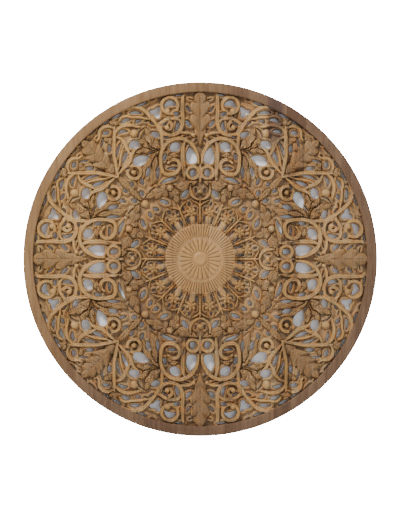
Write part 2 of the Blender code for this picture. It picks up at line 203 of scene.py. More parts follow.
# %% Stems as crest height, width and line
STEM_LINES = [
    (22.5, 10, [(4, 243), (5, 257), (9, 271), (15, 284), (25, 296), (38, 303), (52, 307), (67, 305),
                (81, 298), (92, 286), (99, 270), (100.5, 250), (98, 230), (91, 218), (80, 215),
                (67, 217), (57, 224), (52, 235), (55, 247), (65, 253), (76, 250), (83, 242)]),
    (20.5, 12, [(41, 200), (41, 215), (42, 235), (44, 255), (44, 275), (42, 290), (38, 303)]),
    (21.0, 11, [(40, 425), (44, 412), (45, 380), (44, 350), (50, 328), (64, 317), (82, 315), (97, 323),
                (101, 338), (94, 350), (81, 351), (72, 341), (76, 330), (86, 330)]),
    (21.5, 9, [(17, 316), (29, 321), (42, 322), (54, 322)]),
    (20.5, 9, [(47, 346), (56, 356), (69, 358), (83, 357), (95, 350), (106, 345), (114, 343)]),
    (21.5, 10, [(98, 272), (97, 296), (98, 314), (104, 330), (113, 344), (123, 357), (135, 371),
                (148, 382), (165, 387), (183, 384), (200, 377)]),
    (21.5, 9, [(219, 318), (212, 328), (203, 336), (190, 340), (176, 341), (162, 337), (152, 336)]),
    (20.0, 7, [(207, 350), (200, 360), (188, 364), (176, 361), (163, 361), (150, 360), (140, 357),
               (128, 356)]),
    (21.5, 11, [(206, 218), (197, 229), (187, 239), (179, 250), (175, 262), (168, 275), (160, 281)]),
    (20.5, 11, [(176, 262), (185, 278), (191, 293), (200, 305), (214, 311)]),
    (20.0, 7, [(209, 226), (204, 243), (202, 260), (198, 277), (192, 292)]),
    (22.0, 10, [(208, 208), (212, 225), (215, 242), (218, 258), (219, 276), (219, 300), (218, 320),
                (218, 338)]),
    (21.5, 10, [(220, 332), (233, 338), (247, 335), (256, 325), (257, 311), (262, 300)]),
    (20.5, 9, [(24, 190), (25, 176), (21, 163), (11, 154), (0, 151)]),
    (20.0, 11, [(0, 196), (0, 220), (0, 243)]),
]
STEMS = [(crest, width, smooth(points)) for crest, width, points in STEM_LINES]
STEMS += [(21.5, 8, ring(18.5, 220, 15.5)), (21.5, 9, ring(77, 391, 21)), (20.5, 9, ring(168, 221, 17))]
STEMS += [(19.5, 6, smooth([polar(angle, 88), polar(angle, 120), polar(angle, 152)]))
          for angle in (0, SPOKE_ANGLE, 2 * SPOKE_ANGLE)]
STEMS += [(19.0, 5, smooth([polar(angle, 134), polar(angle + side * 3.2, 143), polar(angle + side * 9, 152)]))
          for angle, side in ((0, 1), (SPOKE_ANGLE, -1), (SPOKE_ANGLE, 1), (2 * SPOKE_ANGLE, -1))]

# %% Balls and discs as crest height, radius and middle
BALLS = [(22.5, 8, (83, 376)), (23.0, 7, (84, 334)), (22.0, 11, (168, 320)), (22.5, 9, (77, 181)),
         (20.5, 10, (140.5, 140.5)), (22.0, 7, (169, 220)), (22.0, 6, (0, 172)), (22.0, 6, (17, 315))]

# %% Leaves as crest height, lobes on a side, spine and half widths
LEAF_LINES = [
    (22.0, 4, [(0, 288), (0, 330), (0, 370), (0, 424)], [3, 8, 20, 26, 26, 24, 10]),
    (22.0, 5, [(212, 212), (240, 240), (270, 270), (302, 302)], [4, 12, 19, 26, 30, 20, 3]),
    (20.5, 2, [(214, 214), (188, 188), (164, 164), (148, 148)], [4, 9, 9, 3]),
    (21.5, 3, [(88, 176), (64, 178), (38, 187), (8, 198)], [4, 14, 15, 12, 3]),
    (21.5, 3, [(68, 182), (95, 172), (118, 164), (138, 156)], [4, 15, 15, 12, 3]),
    (20.5, 2, [(78, 184), (66, 166), (60, 152), (58, 140)], [4, 13, 14, 9, 2]),
    (20.5, 3, [(150, 196), (144, 224), (130, 246), (104, 277)], [4, 9, 10, 9, 2]),
    (20.0, 2, [(125, 188), (118, 206), (117, 228), (110, 262)], [4, 12, 9, 8, 2]),
    (21.0, 3, [(100, 281), (130, 280), (165, 270)], [2, 9, 11, 8, 2]),
    (22.0, 3, [(100, 281), (128, 292), (158, 302)], [2, 11, 13, 11, 2]),
    (21.0, 3, [(100, 281), (122, 300), (140, 334)], [2, 11, 14, 11, 2]),
    (21.0, 3, [(218, 318), (219, 338), (219, 362)], [4, 8, 15, 8]),
    (20.0, 2, [(219, 288), (230, 300), (246, 306)], [3, 8, 8, 3]),
    (20.0, 2, [(56, 262), (70, 263), (83, 252)], [3, 8, 8, 3]),
]
LEAVES = [(crest, lobes, smooth(points), widths) for crest, lobes, points, widths in LEAF_LINES]

# %% Dents as depth, and an oval that is pressed into the wood without going through
DENTS = [(5, (39, 231), 16, 6, 80), (5, (44, 210), 14, 5, 60), (4, (75, 251), 12, 5, -20),
         (4, (224, 243), 36, 7, 74), (4, (17, 330), 14, 4, 27), (5, (163, 214), 6, 4, 0),
         (5, (173, 215), 6, 4, 40), (5, (168, 229), 7, 4, 90), (3, (270, 311), 12, 4, -35),
         (3, (285, 305), 12, 4, -60), (3, (160, 316), 7, 3, 30), (3, (176, 322), 8, 3, -40)]
print(len(STEMS), "stems and rings,", len(BALLS), "balls,", len(LEAVES), "leaves,", len(DENTS), "dents")

# %% [markdown]
# ## Carving
# The face is a height field: at each point of the drawing the tallest piece of carving wins, and the wood
# between two openings is at least a rounded ridge. A carver works the same way, from the front only, so
# nothing is undercut. Sculpting by hand or joining hundreds of tubes would also do, but a rule for heights
# is repeatable and gives one skin.

# %% Distance to a line
def follow(line, points, reach):
    """Distance across and place along a line, in millimetres, for the points within reach of it."""
    box = (points > line.min(0) - reach).all(1) & (points < line.max(0) + reach).all(1)
    spots = points[box]
    across = np.full(len(spots), 1e6)
    along = np.zeros(len(spots))
    passed = 0.0
    for a, b in zip(line, line[1:]):
        step = b - a
        length = np.linalg.norm(step)
        t = np.clip((spots - a) @ step / length ** 2, 0, 1)
        distance = np.linalg.norm(spots - a - t[:, None] * step, axis=1)
        closer = distance < across
        across[closer] = distance[closer]
        along[closer] = passed + t[closer] * length
        passed += length
    return np.flatnonzero(box), across, along, passed


# %% Distance to the nearest opening
def edge_distance(points, reach=9.0):
    """How far each point of the drawing is from the saw cuts, up to the reach."""
    nearest = np.full(len(points), reach)
    for outline in OPENINGS:
        index, across, _, _ = follow(np.concatenate([outline, outline[:1]]), points, reach)
        nearest[index] = np.minimum(nearest[index], across)
    return nearest


# %% Stems and balls
def sag(share):
    """How far a round section of height 1 has fallen at a share of its half width."""
    return 1 - np.sqrt(1 - np.minimum(share, 1) ** 2)


GROUND = 9.0
STEM_ROUNDING = 7.0
BALL_ROUNDING = 8.0
GROOVE_DEPTH, GROOVE_HALF_WIDTH = 2.4, 1.4
GROOVED_FROM = 7                           # stems wider than this have a groove
MOAT_DROP, MOAT_SLOPE = 7.5, 2.2           # the cut beside a stem, and how steeply its far side climbs
STEM_TAPER, END_WIDTH = 3.0, 0.35          # a stem thins towards its ends over three widths


def moat(crest, beyond):
    """Level of the cut beside a raised part, by the distance beyond its edge."""
    return np.where(beyond > 0, np.maximum(crest - MOAT_DROP + MOAT_SLOPE * beyond, GROUND - 1), 99)


def raise_stems(points, height):
    """Cuts beside all stems and balls first, then sets them in, so that none of them cuts another."""
    raised = []
    for crest, width, line in STEMS:
        index, across, along, length = follow(line, points, width)
        closed = np.allclose(line[0], line[-1])
        from_end = np.minimum(along, length - along) / (STEM_TAPER * width)
        half = width / 2 * np.where(closed, 1, END_WIDTH + (1 - END_WIDTH) * np.clip(from_end, 0, 1) ** 0.5)
        height[index] = np.minimum(height[index], moat(crest, across - half))
        level = crest - STEM_ROUNDING * sag(across / half)
        if width > GROOVED_FROM:
            level -= GROOVE_DEPTH * np.exp(-(across / GROOVE_HALF_WIDTH) ** 2)
        raised.append((index, np.where(across < half, level, 0)))
    for crest, radius, middle in BALLS:
        distance = np.linalg.norm(points - np.array(middle), axis=1)
        height[:] = np.minimum(height, moat(crest, distance - radius))
        level = crest - BALL_ROUNDING * sag(distance / radius)
        raised.append((slice(None), np.where(distance < radius, level, 0)))
    for index, level in raised:
        height[index] = np.maximum(height[index], level)


# %% [markdown]
# A leaf falls away from its spine to both sides. Its lobes part along creases that run out and forwards,
# and finer veins follow them. The veins are as narrow as the mesh, so they're kept as a number that counts
# veins across the leaf, which the wood's material later turns into fine grooves with painted shade in them.

# %% Leaves
LOBE_SLANT, VEIN_SLANT, VEIN_PITCH = 0.8, 1.5, 6.0
LOBE_CUT = 0.30                            # how far the edge comes in between two lobes
LEAF_FALL, CREASE_DEPTH, RIM_FALL = 3.0, 4.5, 2.5
SPINE_DEPTH, SPINE_HALF_WIDTH = 2.2, 1.5
LEAF_CUT = 4.0                             # millimetres round a leaf that are cut down


def raise_leaves(points, height):
    veins, leafy = np.zeros(len(points)), np.zeros(len(points))
    for crest, lobes, spine, widths in LEAVES:
        index, across, along, length = follow(spine, points, max(widths) + LEAF_CUT)
        half = np.interp(along / length, np.linspace(0, 1, len(widths)), widths)
        lobe = np.abs(np.sin(np.pi * lobes * (along - LOBE_SLANT * across) / length))
        share = across / (half * (1 - LOBE_CUT * (1 - lobe)))
        beyond = across * (1 - 1 / np.maximum(share, 1))
        height[index] = np.minimum(height[index], moat(crest - LEAF_FALL, beyond))
        level = (crest - LEAF_FALL * share ** 2 - CREASE_DEPTH * (1 - lobe) ** 2 * np.clip(2 * share, 0, 1)
                 - SPINE_DEPTH * np.exp(-(across / SPINE_HALF_WIDTH) ** 2)
                 - RIM_FALL * np.clip(share, 0, 1) ** 8)
        level[share > 1] = 0
        won = level > height[index]
        height[index[won]] = level[won]
        veins[index[won]] = ((along - VEIN_SLANT * across) / VEIN_PITCH)[won]
        leafy[index[won]] = np.clip((0.96 - share[won]) * 6, 0, 1)
    return veins, leafy


# %% The whole field
EDGE_ROUNDING = 2.0
LIP_MIDDLE, LIP_HALF, LIP_HEIGHT = 3.6, 4.2, 7.0       # the rounded lip that follows every opening
PLAIN_HEIGHT = 1.5                                     # of the wood between the lips, over the ground
GOUGE_PITCH = 5.0                                      # of the gouge cuts in it
TONGUE_TOP, TONGUE_ROUNDING = 20, 6                    # the tongues between the spokes, beside the dome
TONGUE_HALF_ANGLE, TONGUE_END, TONGUE_TIP = 5.0, 104, 9


def field_height(points):
    """Height of the carved face over the back, with the counts and the mask of the leaf veins."""
    edge = edge_distance(points)
    height = GROUND + LIP_HEIGHT * np.sqrt(1 - np.minimum(np.abs(edge - LIP_MIDDLE) / LIP_HALF, 1) ** 2)
    height = np.where(edge > LIP_MIDDLE, np.maximum(height, GROUND + PLAIN_HEIGHT), height)
    plain = height.copy()
    radius = np.linalg.norm(points, axis=1)
    angle = np.degrees(np.arctan2(points[:, 0], points[:, 1]))
    tongue = np.abs((angle % SPOKE_ANGLE) - SPOKE_ANGLE / 2) / TONGUE_HALF_ANGLE
    tongue = np.hypot(tongue, np.clip((radius - TONGUE_END) / TONGUE_TIP, 0, 2))
    height = np.maximum(height, np.where(tongue < 1, TONGUE_TOP - TONGUE_ROUNDING * sag(tongue), 0))
    veins, leafy = raise_leaves(points, height)
    before = height.copy()
    raise_stems(points, height)
    leafy[height > before] = 0
    gouged = (height <= plain) & (leafy == 0)
    veins[gouged], leafy[gouged] = edge[gouged] / GOUGE_PITCH, 0.6 * np.clip(edge[gouged] - LIP_MIDDLE, 0, 1)
    for depth, middle, length, width, turn in DENTS:
        c, s = math.cos(math.radians(turn)), math.sin(math.radians(turn))
        x, z = (points - np.array(middle)).T
        lengthwise, crosswise = (x * c + z * s) / (length / 2), (z * c - x * s) / (width / 2)
        height -= depth * np.exp(-lengthwise ** 2 - crosswise ** 2)
    height -= EDGE_ROUNDING * sag(1 - np.clip(edge / EDGE_ROUNDING, 0, 1))
    return np.maximum(height, GROUND - EDGE_ROUNDING), veins, leafy


# %% [markdown]
# ## The sawn slice
# The slice is filled with points in a honeycomb, denser in rows along the saw cuts, and joined by Delaunay
# triangles that keep the outlines. The triangles inside an opening are thrown away. A Boolean would cut a
# solid disc too, but it would leave long thin triangles, which take no relief.

# %% Points of the slice
HONEYCOMB = 1.8
LOOP_STEPS, SIDE_STEPS = 180, 190
INNER_EDGE, OUTER_EDGE = DOME_RADIUS - 4, FIELD_RADIUS + 4   # the field reaches under dome and band
SAWN_FROM, SAWN_TO = DOME_RADIUS - 1.5, FIELD_RADIUS + 1.5   # an opening ends hidden behind their edges


def inside(points, outline):
    """True for the points inside an outline, by counting how often a line to the right crosses it."""
    box = (points > outline.min(0)).all(1) & (points < outline.max(0)).all(1)
    x, z = points[box].T
    odd = np.zeros(len(x), bool)
    for (ax, az), (bx, bz) in zip(outline, np.roll(outline, -1, axis=0)):
        if az != bz:
            odd ^= ((az > z) != (bz > z)) & (x < (bx - ax) * (z - az) / (bz - az) + ax)
    box[box] = odd
    return box


def in_any_opening(points):
    sawn = np.zeros(len(points), bool)
    for outline in OPENINGS:
        sawn |= inside(points, outline)
    radius = np.linalg.norm(points, axis=1)
    return sawn & (radius > SAWN_FROM) & (radius < SAWN_TO)


def slice_points():
    """Loops that have to stay, then the free points between them."""
    turns = np.linspace(0, np.pi / 4, LOOP_STEPS + 1)
    loops = [(np.stack([r * np.sin(turns[::k]), r * np.cos(turns[::k])], 1), False)
             for r, k in ((INNER_EDGE, 4), (SAWN_FROM, 4), (SAWN_TO, 1), (OUTER_EDGE, 1))]
    sides = np.arange(INNER_EDGE, OUTER_EDGE + 1e-6, (OUTER_EDGE - INNER_EDGE) / SIDE_STEPS)
    loops += [(np.stack([sides * 0, sides], 1), False), (np.stack([sides, sides], 1) * math.sqrt(0.5), False)]
    loops += [(outline, True) for outline in OPENINGS]
    grid = []
    for k, z in enumerate(np.arange(0, OUTER_EDGE, HONEYCOMB * math.sqrt(0.75))[1:]):
        x = np.arange((1 + k % 2) * HONEYCOMB / 2, z, HONEYCOMB)
        grid.append(np.stack([x, np.full(len(x), z)], 1))
    grid = np.concatenate(grid)
    radius = np.linalg.norm(grid, axis=1)
    grid = grid[(radius > INNER_EDGE + 1) & (radius < OUTER_EDGE - 1) & (grid[:, 1] - grid[:, 0] > 1.2)]
    grid = grid[~in_any_opening(grid)]
    return loops, grid[edge_distance(grid) > 0.8]


# %% Triangles of the slice
def triangles(spots, edges):
    """Delaunay triangles that keep the edges, without those outside the slice or in an opening."""
    points, _, faces, *_ = delaunay_2d_cdt([Vector(p) for p in spots], edges, [], 0, 1e-7)
    points, faces = np.array(points), np.array([f for f in faces if len(f) == 3])
    middle = points[faces].mean(1)
    radius = np.linalg.norm(middle, axis=1)
    keep = (middle[:, 0] > 0) & (middle[:, 1] > middle[:, 0]) & ~in_any_opening(middle)
    keep &= (radius > INNER_EDGE - 0.2) & (radius < OUTER_EDGE)
    return points, faces[keep]


def sawn_slice():
    """Points and triangles of the flat slice with its openings, still without relief."""
    loops, grid = slice_points()
    spots, edges = [], []
    for line, closed in loops:
        first = len(spots)
        spots += [tuple(p) for p in line]
        count = len(line) if closed else len(line) - 1
        edges += [(first + i, first + (i + 1) % len(line)) for i in range(count)]
    spots += [tuple(p) for p in grid]
    return triangles(spots, edges)


# %% [markdown]
# The honeycomb has more triangles than the calm places need. Decimate takes away those that matter least
# to the shape. The points on the two open sides are then set back on their mirror planes, so that the
# copies close without a gap.

# %% Relief, thinned
FACE_TRIANGLES = 14900
NEAR_AXIS, NEAR_DIAGONAL = 0.05, 0.07      # millimetres from a mirror plane that count as on it


def plain_mesh(thing):
    """What an object's modifiers make of it, as a mesh of its own. The object goes."""
    shown = thing.evaluated_get(bpy.context.evaluated_depsgraph_get())
    data = bpy.data.meshes.new_from_object(shown)
    bpy.data.objects.remove(thing)
    return data


def new_object(name, data):
    thing = bpy.data.objects.new(name, data)
    bpy.context.scene.collection.objects.link(thing)
    return thing


def new_mesh(name, points, faces):
    data = bpy.data.meshes.new(name)
    data.from_pydata([tuple(p) for p in points], [], [tuple(f) for f in faces])
    return data


def mesh_points(data):
    flat = np.empty(3 * len(data.vertices))
    data.vertices.foreach_get("co", flat)
    return flat.reshape(-1, 3)


def border_of(faces):
    """The directed edges that only one triangle has. The wood lies on their left."""
    known = {edge for face in faces for edge in zip(face, face[1:] + face[:1])}
    return sorted(edge for edge in known if edge[::-1] not in known)


def carved_face():
    """The face of the slice, thinned, as points in millimetres (x, height, z) and triangles."""
    spots, faces = sawn_slice()
    height, _, _ = field_height(spots)
    relief = np.stack([spots[:, 0], height, spots[:, 1]], 1)
    face = new_object("carved_face", new_mesh("carved_face", relief, faces))
    thin = face.modifiers.new("thin", "DECIMATE")
    thin.ratio = min(1, FACE_TRIANGLES / len(faces))
    print(len(faces), "triangles thinned by", round(thin.ratio, 2))
    data = plain_mesh(face)
    points = mesh_points(data)
    faces = [tuple(p.vertices) for p in data.polygons]
    for i in {i for edge in border_of(faces) for i in edge}:
        x, z = points[i, 0], points[i, 2]
        if x < NEAR_AXIS:
            points[i, 0] = 0
        elif z - x < NEAR_DIAGONAL:
            points[i, 0] = points[i, 2] = (x + z) / 2
    faces = [f for f in faces if any(points[i, 0] > 0 for i in f)
             and any(points[i, 0] < points[i, 2] for i in f)]
    return points, faces, border_of(faces)


face_points, face_triangles, face_border = carved_face()

# %% Walls and back
def fill(spots, border):
    """Triangles over the wood: those on the left of the border's edges, and all that they lead to."""
    _, _, faces, *_ = delaunay_2d_cdt([Vector(p) for p in spots], border, [], 0, 1e-9)
    owner = {edge: face for face in map(tuple, faces) for edge in zip(face, face[1:] + face[:1])}
    stop = set(border)
    wood = {owner[edge] for edge in border if edge in owner}
    queue = list(wood)
    while queue:
        face = queue.pop()
        for edge in zip(face, face[1:] + face[:1]):
            beyond = owner.get(edge[::-1])
            if edge not in stop and beyond and beyond not in wood:
                wood.add(beyond)
                queue.append(beyond)
    return sorted(wood)


def close_slice(points, faces, border):
    """The face with straight saw cuts behind it and a flat back, in metres, open at the mirror planes."""
    number = {spot: k for k, spot in enumerate(sorted({i for edge in border for i in edge}))}
    base = len(points)
    back = points[list(number)] * (1, 0, 1)
    closed = list(faces)
    closed += [(base + c, base + b, base + a)
               for a, b, c in fill(back[:, [0, 2]], [(number[a], number[b]) for a, b in border])]
    for a, b in border:
        on_axis = points[a, 0] == 0 == points[b, 0]
        on_diagonal = points[a, 0] == points[a, 2] and points[b, 0] == points[b, 2]
        if not (on_axis or on_diagonal):
            closed += [(b, a, base + number[a]), (b, base + number[a], base + number[b])]
    return new_mesh("sawn_slice", np.concatenate([points, back]) * (MM, -MM, MM), closed)


slice_data = close_slice(face_points, face_triangles, face_border)
print(len(slice_data.polygons), "triangles in the slice")

# %% [markdown]
# ## Eight times round
# The panel repeats, so a Geometry Nodes tree does the repeating: it joins the slice to its mirror image
# across the diagonal and sets that quarter at four turns. Mirror modifiers would do the same here, but the
# tree has the number of quarters as an input.

# %% Helpers for node trees
def new_tree(name, **inputs):
    """A Geometry Nodes tree with a geometry in and out, and named inputs with their first values."""
    tree = bpy.data.node_groups.new(name, "GeometryNodeTree")
    tree.is_modifier = True
    for way in ("INPUT", "OUTPUT"):
        tree.interface.new_socket("Geometry", in_out=way, socket_type="NodeSocketGeometry")
    for title, value in inputs.items():
        kind = "NodeSocketInt" if isinstance(value, int) else "NodeSocketFloat"
        tree.interface.new_socket(title, in_out="INPUT", socket_type=kind).default_value = value
    tree.nodes.new("NodeGroupInput")
    tree.nodes.new("NodeGroupOutput")
    return tree


def put(tree, kind, inputs=None, **settings):
    """Adds a node. Its inputs take values or the outputs of other nodes, by name or by number."""
    node = tree.nodes.new(kind)
    for key, value in settings.items():
        setattr(node, key, value)
    for key, value in (inputs or {}).items():
        if isinstance(value, bpy.types.Node):
            value = value.outputs[0]
        if isinstance(value, bpy.types.NodeSocket):
            tree.links.new(value, node.inputs[key])
        else:
            node.inputs[key].default_value = value
    return node


def tools_for(tree):
    """Three short functions: calc adds a Math node, given hands over an input, fade is a smooth step."""
    def calc(operation, *values):
        return put(tree, "ShaderNodeMath", dict(enumerate(values)), operation=operation).outputs[0]

    def given(name):
        return tree.nodes["Group Input"].outputs[name]

    def fade(value, start, end, first=0, last=1):
        return put(tree, "ShaderNodeMapRange", {"Value": value, "From Min": start, "From Max": end,
                                                "To Min": first, "To Max": last},
                   interpolation_type="SMOOTHSTEP").outputs[0]

    return calc, given, fade


# %% Helpers for whole trees
WELD = 0.00002                             # metres between points that become one


def set_round(tree, thing, count, offset=0.0):
    """Copies of a thing, turned about the middle of the panel in even steps. count names an input."""
    calc, given, _ = tools_for(tree)
    turn = calc("MULTIPLY", calc("ADD", put(tree, "GeometryNodeInputIndex"), offset),
                calc("DIVIDE", 2 * math.pi, given(count)))
    turned = put(tree, "FunctionNodeEulerToRotation", {0: put(tree, "ShaderNodeCombineXYZ", {"Y": turn})})
    return put(tree, "GeometryNodeInstanceOnPoints", {
        "Points": put(tree, "GeometryNodePoints", {"Count": given(count)}), "Instance": thing,
        "Rotation": turned})


def finish_tree(tree, geometry, material):
    """Every tree ends the same way: instances made real, and the material set."""
    real = put(tree, "GeometryNodeRealizeInstances", {0: geometry})
    closed = put(tree, "GeometryNodeMergeByDistance", {"Geometry": real, "Distance": WELD})
    dressed = put(tree, "GeometryNodeSetMaterial", {"Geometry": closed, "Material": material})
    tree.links.new(dressed.outputs[0], tree.nodes["Group Output"].inputs[0])


def grow(name, tree, data=None, **values):
    """Runs a tree on a mesh, with its inputs set by their identifiers, and returns the plain mesh."""
    thing = new_object(name, data or bpy.data.meshes.new(name))
    modifier = thing.modifiers.new(name, "NODES")
    modifier.node_group = tree
    sockets = {item.name: item.identifier for item in tree.interface.items_tree if item.in_out == "INPUT"}
    for title, value in values.items():
        modifier[sockets[title]] = value
    return plain_mesh(thing)


# %% The tree that repeats the slice
teak = bpy.data.materials.new("carved_teak_finish")
QUARTERS = 4

repeat = new_tree("repeat_round_the_panel", Quarters=QUARTERS)
_, given, _ = tools_for(repeat)
mirrored = put(repeat, "GeometryNodeTransform", {"Geometry": given("Geometry"), "Scale": (-1, 1, 1),
                                                 "Rotation": (0, math.pi / 2, 0)})
flipped = put(repeat, "GeometryNodeFlipFaces", {"Mesh": mirrored})
quarter = put(repeat, "GeometryNodeJoinGeometry", {0: flipped})
repeat.links.new(given("Geometry"), quarter.inputs[0])
finish_tree(repeat, set_round(repeat, quarter, "Quarters"), teak)
field = grow("carved_field", repeat, slice_data, Quarters=QUARTERS)
print("field:", len(field.polygons), "triangles")

# %% [markdown]
# ## The plain band
# The outside is a plain band, turned or routed all round, with eased edges. On a computer that is a profile
# carried round a circle, which Curve to Mesh does in one node. A cylinder with its middle cut out would
# need a Boolean and a bevel for the same shape.

# %% The band
BAND_EASE, EASE_POINTS = 2.2, 3

band_tree = new_tree("band_round_the_edge", Radius=0.45, Width=0.025, Thickness=0.024, Ease=0.002, Steps=192)
calc, given, _ = tools_for(band_tree)
middle = calc("SUBTRACT", given("Radius"), calc("MULTIPLY", given("Width"), 0.5))
path = put(band_tree, "GeometryNodeCurvePrimitiveCircle", {"Resolution": given("Steps"), "Radius": middle})
section = put(band_tree, "GeometryNodeCurvePrimitiveQuadrilateral", {"Width": given("Width"),
                                                                     "Height": given("Thickness")})
eased = put(band_tree, "GeometryNodeFilletCurve", {"Curve": section, "Radius": given("Ease"),
                                                   "Count": EASE_POINTS}, mode="POLY")
swept = put(band_tree, "GeometryNodeCurveToMesh", {"Curve": path, "Profile Curve": eased})
off_wall = put(band_tree, "ShaderNodeCombineXYZ", {"Y": calc("MULTIPLY", given("Thickness"), -0.5)})
stood = put(band_tree, "GeometryNodeTransform", {"Geometry": swept, "Rotation": (math.pi / 2, 0, 0),
                                                 "Translation": off_wall})
finish_tree(band_tree, stood, teak)
band = grow("plain_band", band_tree, Radius=PANEL_RADIUS, Width=RIM_WIDTH * MM, Thickness=RIM_THICKNESS * MM,
            Ease=BAND_EASE * MM)
print("band:", len(band.polygons), "faces")

# %% [markdown]
# ## The fluted dome
# The dome in the middle is the one part with a plain rule: a ringed button, twenty-four petals round it,
# and seventy-two fine flutes outside them. A tree bends a grid round into a disc and sets each point's
# height from its angle and its distance from the middle. The last two rows of the grid make the side and
# the back, so the disc is closed. A turned profile would give the rings, but not the petals.

# %% A grid bent into a closed disc
def bent_disc(tree, rows):
    """The grid with the angle and the share of the radius of its points, and marks for face and hub rows."""
    calc, given, _ = tools_for(tree)
    grid = put(tree, "GeometryNodeMeshGrid", {"Size X": 1.0, "Size Y": 1.0, "Vertices Y": rows + 2,
                                              "Vertices X": calc("ADD", given("Steps"), 1)})
    split = put(tree, "ShaderNodeSeparateXYZ", {0: put(tree, "GeometryNodeInputPosition")})
    angle = calc("MULTIPLY", calc("ADD", split.outputs["X"], 0.5), 2 * math.pi)
    row = calc("MULTIPLY", calc("ADD", split.outputs["Y"], 0.5), rows + 1)
    share = calc("MINIMUM", calc("DIVIDE", row, rows - 1), 1)
    return grid, angle, share, calc("LESS_THAN", row, rows - 0.5), calc("LESS_THAN", row, rows + 0.5)


def ridges(calc, angle, count):
    """1 along the crest of each of count ridges round the middle, 0 in the creases between them."""
    return calc("ABSOLUTE", calc("COSINE", calc("MULTIPLY", angle, calc("MULTIPLY", count, 0.5))))


def set_disc(tree, grid, angle, radius, height):
    """Moves the points of the grid to their places round the y axis, faces outwards."""
    calc, _, _ = tools_for(tree)
    spot = put(tree, "ShaderNodeCombineXYZ", {"X": calc("MULTIPLY", radius, calc("SINE", angle)),
                                              "Y": calc("MULTIPLY", height, -1),
                                              "Z": calc("MULTIPLY", radius, calc("COSINE", angle))})
    return put(tree, "GeometryNodeSetPosition", {"Geometry": grid, "Position": spot})


# %% The dome, in shares of its radius and of the depth of its carving
DOME_ROWS = 34
DOME_PETALS, DOME_FLUTES = 24, 72
PETAL_FROM, PETAL_END, PETAL_BOW = 0.20, 0.60, 0.05
PETAL_POWER, FLUTE_POWER = 0.45, 0.5       # a lower one makes flatter crests and sharper creases
CROWN_POWER = 2.2                          # a higher one keeps the crown flat farther out
SHALLOWER = 0.9                            # flutes and plain rings, against the petals
BUTTON_SHARE, BUTTON_EYE, EYE_LEVEL = 0.175, 0.07, 0.45
EDGE_FROM, EDGE_FALL = 0.955, 0.14

dome_tree = new_tree("fluted_dome", Radius=0.09, Edge=0.019, Crown=0.006, Button=0.002, Depth=0.0022,
                     Petals=DOME_PETALS, Flutes=DOME_FLUTES, Steps=288)
calc, given, fade = tools_for(dome_tree)
grid, angle, share, on_face, off_hub = bent_disc(dome_tree, DOME_ROWS)
petal = ridges(calc, angle, given("Petals"))
flute = ridges(calc, angle, given("Flutes"))
end = calc("ADD", calc("MULTIPLY", petal, PETAL_BOW), PETAL_END - PETAL_BOW)
in_petals = calc("MULTIPLY", fade(share, PETAL_FROM, PETAL_FROM + 0.03),
                 fade(calc("SUBTRACT", share, end), -0.03, 0.0, 1, 0))
in_flutes = fade(share, PETAL_END + 0.02, PETAL_END + 0.06)
rise = calc("MULTIPLY", given("Crown"), calc("SUBTRACT", 1, calc("POWER", share, CROWN_POWER)))
carving = calc("MULTIPLY", in_petals, calc("SUBTRACT", calc("POWER", petal, PETAL_POWER), 1))
flute_cut = calc("MULTIPLY", SHALLOWER, calc("SUBTRACT", calc("POWER", flute, FLUTE_POWER), 1))
carving = calc("ADD", carving, calc("MULTIPLY", in_flutes, flute_cut))
between = calc("SUBTRACT", 1, calc("MAXIMUM", in_petals, in_flutes))
carving = calc("SUBTRACT", carving, calc("MULTIPLY", calc("MULTIPLY", between, SHALLOWER),
                                         fade(share, BUTTON_SHARE, BUTTON_SHARE + 0.02)))

# %% Its height and its mesh
cap = calc("MULTIPLY", fade(share, BUTTON_SHARE - 0.03, BUTTON_SHARE, 1, 0),
           fade(share, BUTTON_EYE, BUTTON_EYE + 0.04, EYE_LEVEL, 1))
fall = calc("MULTIPLY", given("Edge"), fade(share, EDGE_FROM, 1.0, 0, -EDGE_FALL))
height = calc("ADD", calc("ADD", given("Edge"), rise),
              calc("ADD", calc("MULTIPLY", carving, given("Depth")),
                   calc("ADD", fall, calc("MULTIPLY", cap, given("Button")))))
dome_radius = calc("MULTIPLY", calc("MULTIPLY", share, off_hub), given("Radius"))
finish_tree(dome_tree, set_disc(dome_tree, grid, angle, dome_radius, calc("MULTIPLY", height, on_face)), teak)
dome = grow("fluted_dome", dome_tree, Radius=DOME_RADIUS * MM)
print("dome:", len(dome.polygons), "faces")

# %% [markdown]
# ## Sixteen little flowers
# Between the spokes round the dome stand sixteen small flowers. One is made by the same bent disc, with six
# petals, and Instance on Points sets it on a circle. The tree makes the copies real at its end. They could
# be part of the height field, but its mesh is too coarse for shapes as small as these.

# %% The flowers
FLOWERS, FLOWER_ORBIT, FLOWER_RADIUS = 16, 121.0, 13.5
FLOWER_ROWS, FLOWER_PETALS = 8, 6
PETAL_REACH = 0.26                         # how much of the radius the petals take
DISH_FALL, CREASE_RISE = 0.0035, -0.0045   # metres, at the tips
EYE_DEPTH, EYE_FILL = 0.0022, -0.0018

flower_tree = new_tree("ring_of_flowers", Radius=0.01, Orbit=0.122, Foot=0.006, Top=0.0225, Flowers=FLOWERS,
                       Petals=FLOWER_PETALS, Steps=36)
calc, given, fade = tools_for(flower_tree)
grid, angle, share, on_face, off_hub = bent_disc(flower_tree, FLOWER_ROWS)
petal = ridges(calc, angle, given("Petals"))
rim = calc("MULTIPLY", given("Radius"), calc("ADD", 1 - PETAL_REACH, calc("MULTIPLY", petal, PETAL_REACH)))
dish = calc("SUBTRACT", calc("MULTIPLY", DISH_FALL, calc("POWER", share, 3)),
            calc("MULTIPLY", calc("SUBTRACT", 1, petal), calc("MULTIPLY", share, CREASE_RISE)))
eye = fade(share, 0.18, 0.34, 0.0, EYE_DEPTH)
eye_fill = fade(share, 0.34, 0.62, 0.0, EYE_FILL)
top = calc("SUBTRACT", given("Top"), calc("ADD", dish, calc("ADD", eye, eye_fill)))
